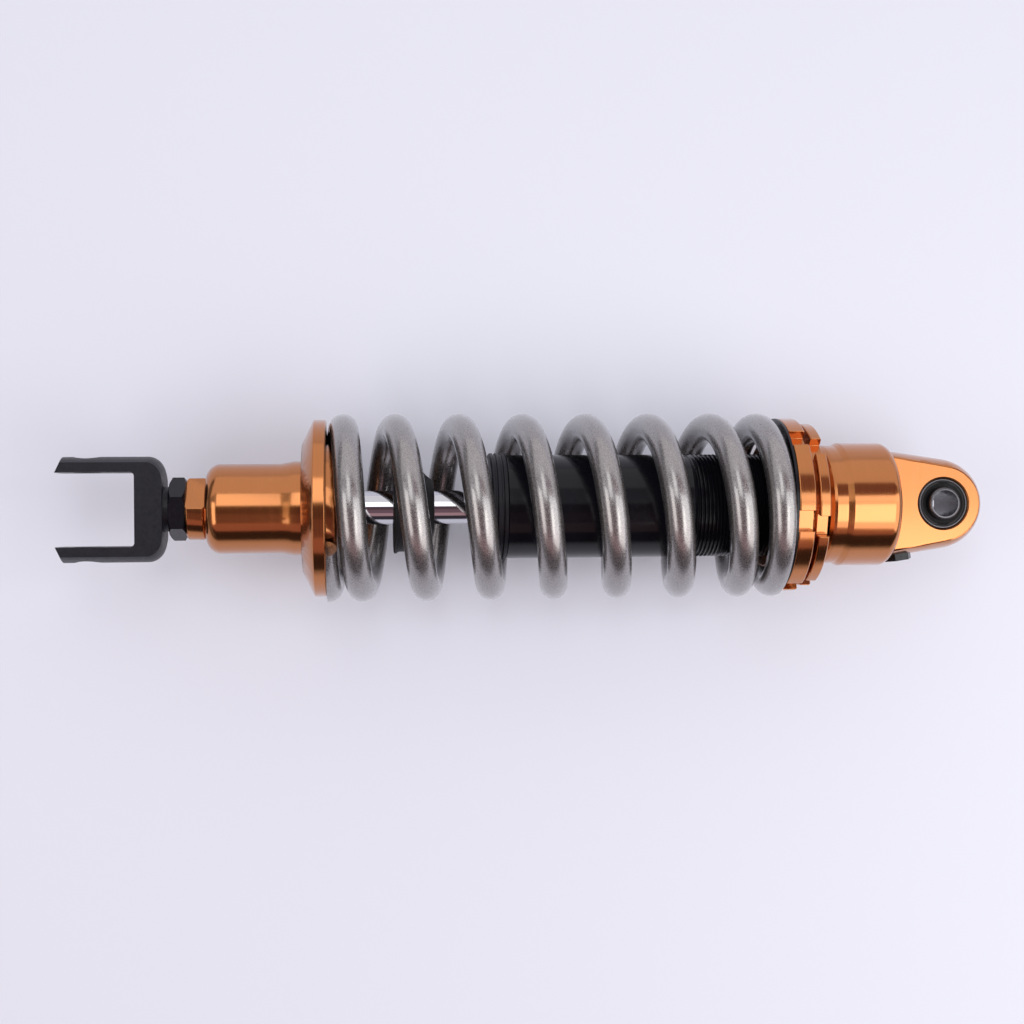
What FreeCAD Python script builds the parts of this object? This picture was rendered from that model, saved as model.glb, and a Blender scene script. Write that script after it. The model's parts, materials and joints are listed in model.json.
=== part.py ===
import FreeCAD, Part

import math
import os
import re

import Sketcher

# Motorcycle rear shock absorber, coil spring over damper, in millimetres.
# X runs along the shock from the clevis to the eye, and the origin is the centre of the eye's bore.
# The eye's bore runs along Z and the clevis pin along Y.

SIZES = {
    # top cap and its eye lug
    "cap_to_eye": 20.4,
    "cap_length": 28.4,
    "cap_dia": 48.4,
    "cap_lip_dia": 44.0,
    "cap_lip_length": 1.3,
    "cap_land_length": 4.2,
    "cap_land_dia": 46.4,
    "cap_bevel_length": 1.0,
    "cap_bevel_dia": 45.6,
    "cap_step_length": 2.2,
    "cap_round": 4.0,
    "socket_depth": 19.5,
    "lug_root_dia": 44.2,
    "lug_root_length": 6.0,
    "lug_thickness": 21.0,
    "nose_radius": 17.9,
    "lug_edge": 0.5,
    "cap_ring_section": 2.0,
    "cap_ring_groove": 2.6,
    "cap_ring_depth": 4.5,
    # eye bearing
    "eye_bore": 10.2,
    "sleeve_dia": 12.6,
    "sleeve_length": 25.0,
    "bearing_dia": 20.0,
    "bearing_bore": 18.2,
    "bearing_width": 20.0,
    "bearing_chamfer": 0.5,
    "sleeve_chamfer": 0.6,
    "seal_depth": 3.4,
    "seal_lip_dia": 16.6,
    "seal_lip_height": 0.7,
    "needle_length": 11.0,
    "needle_count": 16,
    # gas filling plug
    "plug_to_eye": 15.4,
    "plug_seat": 18.4,
    "plug_head_flats": 9.5,
    "plug_head_height": 4.0,
    "plug_dia": 7.0,
    "plug_depth": 6.5,
    "plug_spot_dia": 12.0,
    "plug_washer_dia": 10.4,
    "plug_washer_thickness": 1.2,
    "plug_tilt": 8.6,
    "gallery_dia": 3.0,
    "gallery_offset": 9.6,
    # damper tube and its end
    "tube_dia": 40.0,
    "tube_bore": 34.0,
    "rod_exposed": 57.9,
    "end_cap_dia": 41.6,
    "end_cap_length": 6.2,
    "end_cap_groove": 0.9,
    "end_cap_groove_depth": 0.8,
    "end_cap_spigot": 4.5,
    "end_cap_edge": 0.5,
    "wiper_dia": 21.0,
    "wiper_depth": 5.6,
    "wiper_recess": 0.4,
    "wiper_rise": 0.9,
    "wiper_lip": 0.8,
    "wiper_lip_foot": 1.8,
    "head_length": 20.0,
    "oil_seal_dia": 22.0,
    "oil_seal_length": 6.0,
    "bush_dia": 16.0,
    "bush_length": 12.0,
    "clip_thickness": 1.6,
    "clip_width": 2.8,
    "clip_gap_angle": 60.0,
    "ring_section": 2.6,
    "ring_groove_width": 3.2,
    # piston and rod
    "rod_dia": 13.0,
    "rod_thread_dia": 12.0,
    "rod_thread_length": 20.0,
    "rod_thread_chamfer": 1.0,
    "rod_nose_dia": 10.0,
    "rod_nose_over": 1.0,
    "top_out_gap": 9.0,
    "top_out_length": 6.0,
    "top_out_dia": 24.0,
    "shim_stack": 1.5,
    "piston_length": 12.0,
    "piston_band_width": 8.0,
    "piston_band_depth": 1.5,
    "piston_port_dia": 4.0,
    "piston_port_circle": 23.0,
    "piston_port_count": 6,
    "shim_overhang": 2.4,
    "piston_nut_flats": 17.0,
    "piston_nut_height": 7.0,
    "gas_room": 19.0,
    "float_length": 12.0,
    "float_cup_dia": 24.0,
    "float_cup_depth": 7.0,
    "float_ring_middle": 4.2,
    # bump stop
    "bump_stand_off": 21.3,
    "bump_length": 15.4,
    "bump_dia": 34.0,
    "bump_lip_dia": 35.4,
    "bump_lip": 1.2,
    "bump_lip_ramp": 0.6,
    "bump_barrel": 8.6,
    "bump_tip_dia": 20.0,
    "bump_tip_round": 2.0,
    # preload rings
    "back_off": 2.5,
    "lock_clearance": 0.5,
    "lock_dia": 63.8,
    "lock_thickness": 4.4,
    "lock_hub_height": 1.9,
    "lock_hub_dia": 52.0,
    "lock_phase": 45.5,
    "adjuster_dia": 67.8,
    "adjuster_thickness": 6.6,
    "adjuster_phase": 41.0,
    "spigot_length": 4.5,
    "slot_count": 6,
    "slot_width": 8.0,
    "slot_depth": 3.9,
    "ring_edge": 0.5,
    "washer_dia": 68.0,
    "washer_thickness": 1.0,
    # coil spring
    "spring_length": 174.6,
    "spring_dia": 72.0,
    "wire_dia": 11.0,
    "spring_fit": 0.6,
    "spring_turns": 8.42,
    "lower_closed": 0.87,
    "lower_ramp": 0.35,
    "upper_closed": 0.7,
    "upper_ramp": 1.0,
    "closed_gap": 0.4,
    "tip_thickness": 4.1,
    "spring_phase": 120.0,
    # lower spring seat
    "seat_length": 52.5,
    "collar_length": 7.2,
    "collar_dia": 23.4,
    "collar_chamfer": 0.7,
    "collar_flats": 17.0,
    "collar_phase": 46.0,
    "barrel_dia": 34.1,
    "barrel_round": 5.4,
    "flare_length": 4.8,
    "hub_dia": 35.9,
    "hub_length": 3.2,
    "flange_face_dia": 49.2,
    "flange_cone_length": 4.2,
    "rim_dia": 67.6,
    "rim_chamfer": 0.5,
    "rim_length": 5.0,
    "boss_height": 4.0,
    "boss_chamfer": 0.8,
    # jam nut and clevis
    "nut_height": 6.4,
    "nut_flats": 21.0,
    "nut_phase": 8.0,
    "shank_dia": 14.0,
    "shank_depth": 22.0,
    "shank_room": 2.0,
    "neck_dia": 17.0,
    "neck_length": 2.2,
    "clevis_dia": 40.0,
    "clevis_gap": 28.0,
    "clevis_thickness": 19.0,
    "clevis_reach": 11.9,
    "clevis_tip_cone": 3.2,
    "clevis_slot": 18.4,
    "clevis_corner": 1.6,
    "clevis_shoulder": 28.5,
    "clevis_round": 6.0,
    "clevis_bore": 10.5,
    # fits, each a gap on the radius
    "running": 0.05,
    "sliding": 0.1,
    "seated": 0.02,
    "loose": 0.2,
    # how far a cut runs past what it cuts
    "overcut": 1.0,
}

# a hexagon's turned corners, as shares of its width across flats
NUT_FACE = 0.974
PAST_CORNERS = 1.24
CORNER_SLOPE = math.tan(math.radians(30))

# how close two places or radii have to be to count as the same
NEAR = 1e-4

doc = FreeCAD.newDocument("shock_absorber")
sheet = doc.addObject("Spreadsheet::Sheet", "sizes")
for row, (size_name, size_value) in enumerate(SIZES.items(), start=1):
    sheet.set(f"A{row}", str(size_value))
    sheet.setAlias(f"A{row}", size_name)
doc.recompute()

X_AXIS = FreeCAD.Vector(1, 0, 0)
Y_AXIS = FreeCAD.Vector(0, 1, 0)
Z_AXIS = FreeCAD.Vector(0, 0, 1)
ALONG_X = FreeCAD.Rotation(Y_AXIS, 90)
ALONG_Y = FreeCAD.Rotation(X_AXIS, -90)
ALONG_Z = FreeCAD.Rotation()

# stations along X, from the eye to the clevis
CAP_END = "-cap_to_eye"
CAP_LIP = f"{CAP_END} - cap_length"
LOCK_RIGHT = f"{CAP_LIP} - lock_clearance - back_off"
LOCK_LEFT = f"{LOCK_RIGHT} - lock_thickness - lock_hub_height"
ADJUSTER_LEFT = f"{LOCK_LEFT} - adjuster_thickness"
WASHER_LEFT = f"{ADJUSTER_LEFT} - washer_thickness"
SPRING_LEFT = f"{WASHER_LEFT} - spring_length"
BOSS_FACE = f"{SPRING_LEFT} + boss_height"
SEAT_LEFT = f"{SPRING_LEFT} - seat_length"
NUT_LEFT = f"{SEAT_LEFT} - nut_height"
PIN = f"{NUT_LEFT} - neck_length - clevis_shoulder"

# radius of what centres the spring's ends, from inside its coils
SPIGOT = "(spring_dia / 2 - wire_dia - spring_fit)"

# radius of an O-ring that just meets the tube's bore
RING_IN_BORE = "tube_bore / 2 - seated - ring_section / 2"

# stations of the damper
TUBE_RIGHT = f"{CAP_LIP} + socket_depth"
END_CAP_LEFT = f"{BOSS_FACE} + rod_exposed"
TUBE_LEFT = f"{END_CAP_LEFT} + end_cap_length"
BUMP_LEFT = f"{BOSS_FACE} + bump_stand_off"
HEAD_LEFT = f"{TUBE_LEFT} + end_cap_spigot"
HEAD_RIGHT = f"{HEAD_LEFT} + head_length"
BUMPER_LEFT = f"{HEAD_RIGHT} + top_out_gap"
REBOUND_SHIMS = f"{BUMPER_LEFT} + top_out_length"
PISTON_LEFT = f"{REBOUND_SHIMS} + shim_stack"
COMPRESSION_SHIMS = f"{PISTON_LEFT} + piston_length"
PISTON_NUT = f"{COMPRESSION_SHIMS} + shim_stack"
ROD_END = f"{PISTON_NUT} + piston_nut_height + rod_nose_over"
FLOAT_LEFT = f"{TUBE_RIGHT} - gas_room - float_length"


def bound(formula):
    """The formula with each size's name pointing at its cell."""
    return re.sub(r"[a-z][a-z_]+[a-z]", lambda m: sheet_name(m.group(0)), formula)


def sheet_name(word):
    return f"sizes.{word}" if word in SIZES else word


def value(formula):
    """What a formula is worth with the sizes as they stand."""
    return float(sheet.evalExpression(bound(formula)))


def bind(feature, **properties):
    """Ties properties of a feature to formulas."""
    for name, formula in properties.items():
        feature.setExpression(name.replace("__", "."), bound(formula))


def new_body(node, station="0"):
    """An empty body, standing at its station on the shock's axis."""
    body = doc.addObject("PartDesign::Body", node)
    body.Label = node
    bind(body, Placement__Base__x=station)
    return body


def origin_plane(body, role):
    return [f for f in body.Origin.OriginFeatures if f.Role == role][0]


def draw(sketch, points):
    """A closed outline through (x, radius) formulas, each tied to the sizes, taken clockwise.

    A point with a third formula starts a rounded corner of that radius, and the next point ends it.
    """
    first = sketch.GeometryCount
    places = [FreeCAD.Vector(value(point[0]), value(point[1]), 0) for point in points]
    ends = []
    for point, start, end in zip(points, places, places[1:] + places[:1]):
        if len(point) == 2:
            sketch.addGeometry(Part.LineSegment(start, end))
            ends.append((1, 2))
            continue
        radius = value(point[2])
        centre = round_centre(start, end, radius)
        circle = Part.Circle(centre, Z_AXIS, radius)
        from_angle = math.atan2(end.y - centre.y, end.x - centre.x)
        to_angle = math.atan2(start.y - centre.y, start.x - centre.x)
        sketch.addGeometry(Part.ArcOfCircle(circle, from_angle, to_angle))
        ends.append((2, 1))
    for i, point in enumerate(points):
        here = first + i
        after = (i + 1) % len(points)
        sketch.addConstraint(
            Sketcher.Constraint("Coincident", here, ends[i][1], first + after, ends[after][0])
        )
        pin_point(sketch, here, ends[i][0], point[0], point[1])
        if len(point) == 3:
            number = sketch.addConstraint(Sketcher.Constraint("Radius", here, value(point[2])))
            sketch.renameConstraint(number, f"round_{here}")
            sketch.setExpression(f"Constraints.round_{here}", bound(point[2]))


def round_centre(start, end, radius):
    """The centre of a corner's arc, on the right of the way from start to end."""
    chord = end - start
    across = FreeCAD.Vector(chord.y, -chord.x, 0).normalize()
    depth = math.sqrt(max(radius * radius - chord.Length * chord.Length / 4, 0.0))
    return (start + end) * 0.5 + across * depth


def pin_point(sketch, line, end, x, r):
    """Holds one end of a line at (x, r), with a named dimension for each."""
    for kind, axis, formula in (("DistanceX", -2, x), ("DistanceY", -1, r)):
        if formula == "0":
            sketch.addConstraint(Sketcher.Constraint("PointOnObject", line, end, axis))
            continue
        number = sketch.addConstraint(
            Sketcher.Constraint(kind, -1, 1, line, end, value(formula))
        )
        name = f"{kind}_{line}_{end}"
        sketch.renameConstraint(number, name)
        sketch.setExpression(f"Constraints.{name}", bound(formula))


def profile_sketch(body, name, *outlines):
    """A sketch on the body's XY plane, where X is the shock's axis and Y the radius."""
    sketch = body.newObject("Sketcher::SketchObject", name)
    sketch.AttachmentSupport = (origin_plane(body, "XY_Plane"), [""])
    sketch.MapMode = "FlatFace"
    for outline in outlines:
        draw(sketch, outline)
    return sketch


def revolve(body, kind, name, *outlines):
    """Turns outlines about X, to add material or, as a Groove, to take it away."""
    sketch = profile_sketch(body, f"{name}_profile", *outlines)
    feature = body.newObject(f"PartDesign::{kind}", name)
    feature.Profile = sketch
    feature.ReferenceAxis = (sketch, ["H_Axis"])
    feature.Angle = 360
    doc.recompute()
    return feature


def turned(node, station, *outlines):
    """A body turned in a lathe, about X, from its station."""
    body = new_body(node, station)
    revolve(body, "Revolution", f"{node}_turned", *outlines)
    return body


def tube_outline(x_start, x_end, inner, outer):
    """The section of a plain ring, as an outline to turn."""
    return [(x_start, inner), (x_start, outer), (x_end, outer), (x_end, inner)]


def turned_ring(node, station, length, inner, outer):
    """A plain ring or sleeve about X."""
    return turned(node, station, tube_outline("0", length, inner, outer))


def primitive(body, kind, name, x="0", y="0", z="0", rotation=ALONG_Z, **sizes):
    """A box, cylinder or prism that is added to or cut from a body, at a bound place."""
    feature = body.newObject(f"PartDesign::{kind}", name)
    feature.Placement = FreeCAD.Placement(FreeCAD.Vector(), rotation)
    bind(feature, Placement__Base__x=x, Placement__Base__y=y, Placement__Base__z=z, **sizes)
    return feature


def drill_x(body, name, start, length, diameter):
    """A hole on the shock's axis."""
    return primitive(
        body,
        "SubtractiveCylinder",
        name,
        x=start,
        rotation=ALONG_X,
        Radius=f"({diameter}) / 2",
        Height=length,
    )


def cut_box(body, name, start, length, low, width, height, turn=0.0):
    """A box cut from x = start, from low outwards along Y, centred on Z, turned about X."""
    cosine = f"{math.cos(math.radians(turn)):.9f}"
    sine = f"{math.sin(math.radians(turn)):.9f}"
    return primitive(
        body,
        "SubtractiveBox",
        name,
        x=start,
        y=f"({low}) * {cosine} + ({height}) / 2 * {sine}",
        z=f"({low}) * {sine} - ({height}) / 2 * {cosine}",
        rotation=FreeCAD.Rotation(X_AXIS, turn),
        Length=length,
        Width=width,
        Height=height,
    )


def circles_at(body, place, radius, along=X_AXIS):
    """Names of the body's circular edges about an axis, at a place along it, with a radius."""
    found = []
    for number, edge in enumerate(body.Tip.Shape.Edges, start=1):
        if edge.Degenerated:
            continue
        curve = edge.Curve
        if not isinstance(curve, Part.Circle):
            continue
        same_place = abs(curve.Center.dot(along) - value(place)) < NEAR
        same_size = abs(curve.Radius - value(radius)) < NEAR
        if same_place and same_size and abs(curve.Axis.dot(along)) > 1 - NEAR:
            found.append(f"Edge{number}")
    return found


def dress(body, kind, name, edges, **sizes):
    """A Fillet or Chamfer on named edges of the body's last feature."""
    base = body.Tip
    feature = body.newObject(f"PartDesign::{kind}", name)
    feature.Base = (base, edges)
    bind(feature, **sizes)
    doc.recompute()
    return feature


def polar(body, feature, name, count):
    """Repeats a feature around the shock's axis."""
    pattern = body.newObject("PartDesign::PolarPattern", name)
    pattern.Originals = [feature]
    pattern.Axis = (origin_plane(body, "X_Axis"), [""])
    pattern.Angle = 360
    bind(pattern, Occurrences=count)
    body.Tip = pattern
    doc.recompute()
    return pattern


def hexagon(body, name, flats, height, phase):
    """A six-sided prism along X, turned so that a corner stands at phase from +Y towards +Z."""
    rotation = FreeCAD.Rotation(X_AXIS, phase + 90) * ALONG_X
    return primitive(
        body,
        "AdditivePrism",
        name,
        rotation=rotation,
        Circumradius=f"({flats}) / sqrt(3)",
        Height=height,
    )


def corner_cut(side, height, flats):
    """The triangle that a lathe takes off the corners of a hexagon at one end."""
    inner = f"({flats}) / 2 * {NUT_FACE}"
    reach = f"({flats}) / 2 * {PAST_CORNERS}"
    rise = f"({flats}) / 2 * {(PAST_CORNERS - NUT_FACE) * CORNER_SLOPE:.5f}"
    if side == "left":
        return [("0", inner), ("0", reach), (rise, reach)]
    return [(height, inner), (height, reach), (f"{height} - {rise}", reach)]


def plain_ring(node, station, length, inner, outer):
    """A soft or thin ring about X, as one cylinder cut by another."""
    blank = doc.addObject("Part::Cylinder", f"{node}_blank")
    bore = doc.addObject("Part::Cylinder", f"{node}_bore")
    for cylinder, radius in ((blank, outer), (bore, inner)):
        cylinder.Placement = FreeCAD.Placement(FreeCAD.Vector(), ALONG_X)
        bind(cylinder, Radius=radius, Height=length, Placement__Base__x=station)
    ring = doc.addObject("Part::Cut", node)
    ring.Label = node
    ring.Base = blank
    ring.Tool = bore
    return ring


def rubber_ring(node, centre, radius, section):
    """An O-ring about X, of a radius to the middle of its section."""
    ring = doc.addObject("Part::Torus", node)
    ring.Label = node
    ring.Placement = FreeCAD.Placement(FreeCAD.Vector(), ALONG_X)
    bind(ring, Placement__Base__x=centre, Radius1=radius, Radius2=f"{section} / 2")
    return ring


def make_top_cap():
    """Forged cap with a socket for the tube and a flat-sided eye lug."""
    body = new_body("top_cap")
    root = f"{CAP_END} - lug_root_length"
    sketch = body.newObject("Sketcher::SketchObject", "lug_profile")
    sketch.AttachmentSupport = (origin_plane(body, "XY_Plane"), [""])
    sketch.MapMode = "FlatFace"
    left = value(root)
    root_radius = value("lug_root_dia / 2")
    nose = value("nose_radius")
    distance = math.hypot(left, root_radius)
    touch = math.atan2(root_radius, left) - math.acos(nose / distance)
    touch_point = FreeCAD.Vector(nose * math.cos(touch), nose * math.sin(touch), 0)
    origin = FreeCAD.Vector()
    left_foot = FreeCAD.Vector(left, 0, 0)
    left_top = FreeCAD.Vector(left, root_radius, 0)
    nose_circle = Part.Circle(origin, Z_AXIS, nose)
    sketch.addGeometry(Part.LineSegment(left_foot, left_top))
    sketch.addGeometry(Part.LineSegment(left_top, touch_point))
    sketch.addGeometry(Part.ArcOfCircle(nose_circle, 0, touch))
    sketch.addGeometry(Part.LineSegment(FreeCAD.Vector(nose, 0, 0), left_foot))
    sketch.addConstraint(Sketcher.Constraint("Coincident", 0, 2, 1, 1))
    sketch.addConstraint(Sketcher.Constraint("Tangent", 1, 2, 2, 2))
    sketch.addConstraint(Sketcher.Constraint("Coincident", 2, 3, -1, 1))
    sketch.addConstraint(Sketcher.Constraint("Coincident", 2, 1, 3, 1))
    sketch.addConstraint(Sketcher.Constraint("Coincident", 3, 2, 0, 1))
    sketch.addConstraint(Sketcher.Constraint("PointOnObject", 3, 1, -1))
    pin_point(sketch, 0, 1, root, "0")
    pin_point(sketch, 0, 2, root, "lug_root_dia / 2")
    radius = sketch.addConstraint(Sketcher.Constraint("Radius", 2, nose))
    sketch.renameConstraint(radius, "nose")
    sketch.setExpression("Constraints.nose", bound("nose_radius"))
    lug = body.newObject("PartDesign::Revolution", "lug_turned")
    lug.Profile = sketch
    lug.ReferenceAxis = (sketch, ["H_Axis"])
    lug.Angle = 360
    doc.recompute()
    for side, z in (("front", "lug_thickness / 2"), ("back", "-lug_thickness / 2 - lug_root_dia")):
        primitive(
            body,
            "SubtractiveBox",
            f"lug_{side}_flat",
            x=f"{root} - overcut",
            y="-lug_root_dia",
            z=z,
            Length="cap_to_eye + lug_root_length + nose_radius + overcut * 2",
            Width="lug_root_dia * 2",
            Height="lug_root_dia",
        )
    doc.recompute()
    dress(body, "Chamfer", "lug_edges", flat_edges(body, root), Size="lug_edge")
    socket = "tube_dia / 2 + seated"
    groove_right = f"{TUBE_RIGHT} - cap_ring_depth + cap_ring_groove / 2"
    groove_left = f"{TUBE_RIGHT} - cap_ring_depth - cap_ring_groove / 2"
    groove_floor = f"{socket} + cap_ring_section + sliding"
    bevel = f"{CAP_LIP} + cap_lip_length"
    land = f"{bevel} + cap_bevel_length"
    outside = [
        (CAP_LIP, socket),
        (CAP_LIP, "cap_lip_dia / 2"),
        (bevel, "cap_bevel_dia / 2"),
        (land, "cap_land_dia / 2"),
        (f"{land} + cap_land_length", "cap_land_dia / 2"),
        (f"{land} + cap_land_length + cap_step_length", "cap_dia / 2"),
        (f"{CAP_END} - cap_round", "cap_dia / 2", "cap_round"),
        (CAP_END, "cap_dia / 2 - cap_round"),
        (CAP_END, "0"),
        (TUBE_RIGHT, "0"),
        (TUBE_RIGHT, socket),
        (groove_right, socket),
        (groove_right, groove_floor),
        (groove_left, groove_floor),
        (groove_left, socket),
    ]
    revolve(body, "Revolution", "cap_turned", outside)
    primitive(
        body,
        "SubtractiveCylinder",
        "bearing_seat",
        z="-lug_thickness / 2 - overcut",
        Radius="bearing_dia / 2 + seated",
        Height="lug_thickness + overcut * 2",
    )
    doc.recompute()
    mouths = []
    for face in ("lug_thickness / 2", "-lug_thickness / 2"):
        mouths += circles_at(body, face, "bearing_dia / 2 + seated", Z_AXIS)
    dress(body, "Chamfer", "bearing_seat_edges", mouths, Size="lug_edge")
    primitive(
        body,
        "SubtractiveCylinder",
        "gas_gallery",
        x=f"{TUBE_RIGHT} - overcut",
        y="-gallery_offset",
        rotation=ALONG_X,
        Radius="gallery_dia / 2",
        Height=f"-plug_to_eye - ({TUBE_RIGHT}) + overcut + gallery_dia / 2",
    )
    tilt = FreeCAD.Rotation(Z_AXIS, value("plug_tilt"))
    outwards = tilt * FreeCAD.Rotation(X_AXIS, 90)
    inwards = tilt * ALONG_Y
    primitive(
        body,
        "SubtractiveCylinder",
        "plug_spot_face",
        x=f"-plug_to_eye - plug_washer_thickness * sin(plug_tilt)",
        y="-plug_seat + plug_washer_thickness * cos(plug_tilt)",
        rotation=outwards,
        Radius="plug_spot_dia / 2",
        Height="cap_dia / 4",
    )
    primitive(
        body,
        "SubtractiveCylinder",
        "plug_hole",
        x="-plug_to_eye",
        y="-plug_seat",
        rotation=inwards,
        Radius="plug_dia / 2 + seated",
        Height="plug_seat - gallery_offset + gallery_dia / 2",
    )
    doc.recompute()
    rubber_ring(
        "cap_ring",
        f"{TUBE_RIGHT} - cap_ring_depth",
        "tube_dia / 2 + seated + cap_ring_section / 2",
        "cap_ring_section",
    )


def flat_edges(body, root):
    """Names of the edges around the lug's two flats, apart from the line across their root."""
    found = []
    for number, edge in enumerate(body.Tip.Shape.Edges, start=1):
        box = edge.BoundBox
        in_flat = box.ZLength < NEAR and abs(abs(box.Center.z) - value("lug_thickness / 2")) < NEAR
        at_root = box.XLength < NEAR and abs(box.Center.x - value(root)) < NEAR
        if in_flat and not at_root:
            found.append(f"Edge{number}")
    return found


def plug_body(node):
    """An empty body on the gas plug's axis, square to the lug's tapering side."""
    body = doc.addObject("PartDesign::Body", node)
    body.Label = node
    body.Placement = FreeCAD.Placement(FreeCAD.Vector(), FreeCAD.Rotation(Z_AXIS, value("plug_tilt")))
    bind(body, Placement__Base__x="-plug_to_eye", Placement__Base__y="-plug_seat")
    return body


def make_gas_plug():
    """Hexagon plug that closes the gas gallery, and the washer that it squeezes."""
    body = plug_body("gas_plug")
    head = primitive(
        body,
        "AdditivePrism",
        "plug_head",
        rotation=FreeCAD.Rotation(X_AXIS, 90),
        Circumradius="plug_head_flats / sqrt(3)",
        Height="plug_head_height",
    )
    head.Polygon = 6
    primitive(
        body,
        "AdditiveCylinder",
        "plug_shank",
        y="-overcut",
        rotation=ALONG_Y,
        Radius="plug_dia / 2",
        Height="plug_depth + overcut",
    )
    washer = plug_body("plug_washer")
    primitive(
        washer,
        "AdditiveCylinder",
        "plug_washer_blank",
        rotation=ALONG_Y,
        Radius="plug_washer_dia / 2",
        Height="plug_washer_thickness",
    )
    primitive(
        washer,
        "SubtractiveCylinder",
        "plug_washer_bore",
        y="-overcut",
        rotation=ALONG_Y,
        Radius="plug_dia / 2 + seated",
        Height="plug_washer_thickness + overcut * 2",
    )
    doc.recompute()


def make_bearing():
    """Needle bearing in the eye, with a lip seal each side and the sleeve that takes the bolt."""
    half = "bearing_width / 2"
    ring = new_body("bearing_outer_ring")
    primitive(
        ring,
        "AdditiveCylinder",
        "bearing_ring_blank",
        z=f"-{half}",
        Radius="bearing_dia / 2",
        Height="bearing_width",
    )
    doc.recompute()
    rims = []
    for face in (half, f"-{half}"):
        rims += circles_at(ring, face, "bearing_dia / 2", Z_AXIS)
    dress(ring, "Chamfer", "bearing_ring_edges", rims, Size="bearing_chamfer")
    primitive(
        ring,
        "SubtractiveCylinder",
        "bearing_ring_bore",
        z=f"-{half} - overcut",
        Radius="bearing_bore / 2",
        Height="bearing_width + overcut * 2",
    )
    doc.recompute()

    sleeve = new_body("eye_sleeve")
    primitive(
        sleeve,
        "AdditiveCylinder",
        "sleeve_blank",
        z="-sleeve_length / 2",
        Radius="sleeve_dia / 2",
        Height="sleeve_length",
    )
    doc.recompute()
    rims = []
    for face in ("sleeve_length / 2", "-sleeve_length / 2"):
        rims += circles_at(sleeve, face, "sleeve_dia / 2", Z_AXIS)
    dress(sleeve, "Chamfer", "sleeve_edges", rims, Size="sleeve_chamfer")
    primitive(
        sleeve,
        "SubtractiveCylinder",
        "sleeve_bore",
        z="-sleeve_length / 2 - overcut",
        Radius="eye_bore / 2",
        Height="sleeve_length + overcut * 2",
    )
    doc.recompute()

    for node, way in (("bearing_seal_front", 1), ("bearing_seal_back", -1)):
        seal = new_body(node)
        outline = [
            (f"{half} - seal_depth", "sleeve_dia / 2 + running"),
            (f"{half} - seal_depth", "bearing_bore / 2 - seated"),
            (f"{half} - bearing_chamfer", "bearing_bore / 2 - seated"),
            (f"{half} - bearing_chamfer", "seal_lip_dia / 2 + seal_lip_height / 2"),
            (f"{half} - bearing_chamfer + seal_lip_height", "seal_lip_dia / 2"),
            (f"{half} - bearing_chamfer", "seal_lip_dia / 2 - seal_lip_height / 2"),
            (f"{half} - bearing_chamfer - seal_lip_height", "sleeve_dia / 2 + running"),
        ]
        revolve(seal, "Revolution", f"{node}_turned", outline)
        seal.Placement = FreeCAD.Placement(FreeCAD.Vector(), FreeCAD.Rotation(Y_AXIS, -90 * way))

    needles = doc.addObject("Part::Feature", "bearing_needles")
    needles.Label = "bearing_needles"
    gap = value("running")
    inner = value("sleeve_dia / 2") + gap
    outer = value("bearing_bore / 2") - gap
    radius = (outer - inner) / 2
    middle = (outer + inner) / 2
    length = value("needle_length")
    count = int(value("needle_count"))
    rollers = []
    for number in range(count):
        angle = 2 * math.pi * number / count
        foot = FreeCAD.Vector(middle * math.cos(angle), middle * math.sin(angle), -length / 2)
        rollers.append(Part.makeCylinder(radius, length, foot, Z_AXIS))
    needles.Shape = Part.makeCompound(rollers)


def make_damper_tube():
    """Tube with the grooves for its clip, closed by the cap at one end and the end cap at the other."""
    left = TUBE_LEFT
    length = f"{TUBE_RIGHT} - ({left})"
    clip_left = f"{HEAD_RIGHT} - ({left})"
    groove = "tube_bore / 2 + clip_width / 2"
    outline = [
        ("0", "tube_bore / 2"),
        ("0", "tube_dia / 2"),
        (length, "tube_dia / 2"),
        (length, "tube_bore / 2"),
        (f"{clip_left} + clip_thickness + sliding", "tube_bore / 2"),
        (f"{clip_left} + clip_thickness + sliding", groove),
        (clip_left, groove),
        (clip_left, "tube_bore / 2"),
    ]
    return turned("damper_tube", left, outline)


def make_end_cap():
    """Ribbed cap in the tube's mouth, which holds the dust wiper."""
    step = "(end_cap_length - end_cap_groove * 2) / 3"
    rim = "end_cap_dia / 2"
    floor = "end_cap_dia / 2 - end_cap_groove_depth"
    spigot = "tube_bore / 2 - seated"
    outline = [
        ("0", "wiper_dia / 2"),
        ("0", f"{rim} - end_cap_edge"),
        ("end_cap_edge", rim),
        (step, rim),
        (step, floor),
        (f"{step} + end_cap_groove", floor),
        (f"{step} + end_cap_groove", rim),
        (f"{step} * 2 + end_cap_groove", rim),
        (f"{step} * 2 + end_cap_groove", floor),
        (f"{step} * 2 + end_cap_groove * 2", floor),
        (f"{step} * 2 + end_cap_groove * 2", rim),
        ("end_cap_length", rim),
        ("end_cap_length", spigot),
        ("end_cap_length + end_cap_spigot", spigot),
        ("end_cap_length + end_cap_spigot", "rod_dia / 2 + loose"),
        ("wiper_depth", "rod_dia / 2 + loose"),
        ("wiper_depth", "wiper_dia / 2"),
    ]
    return turned("end_cap", END_CAP_LEFT, outline)


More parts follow.
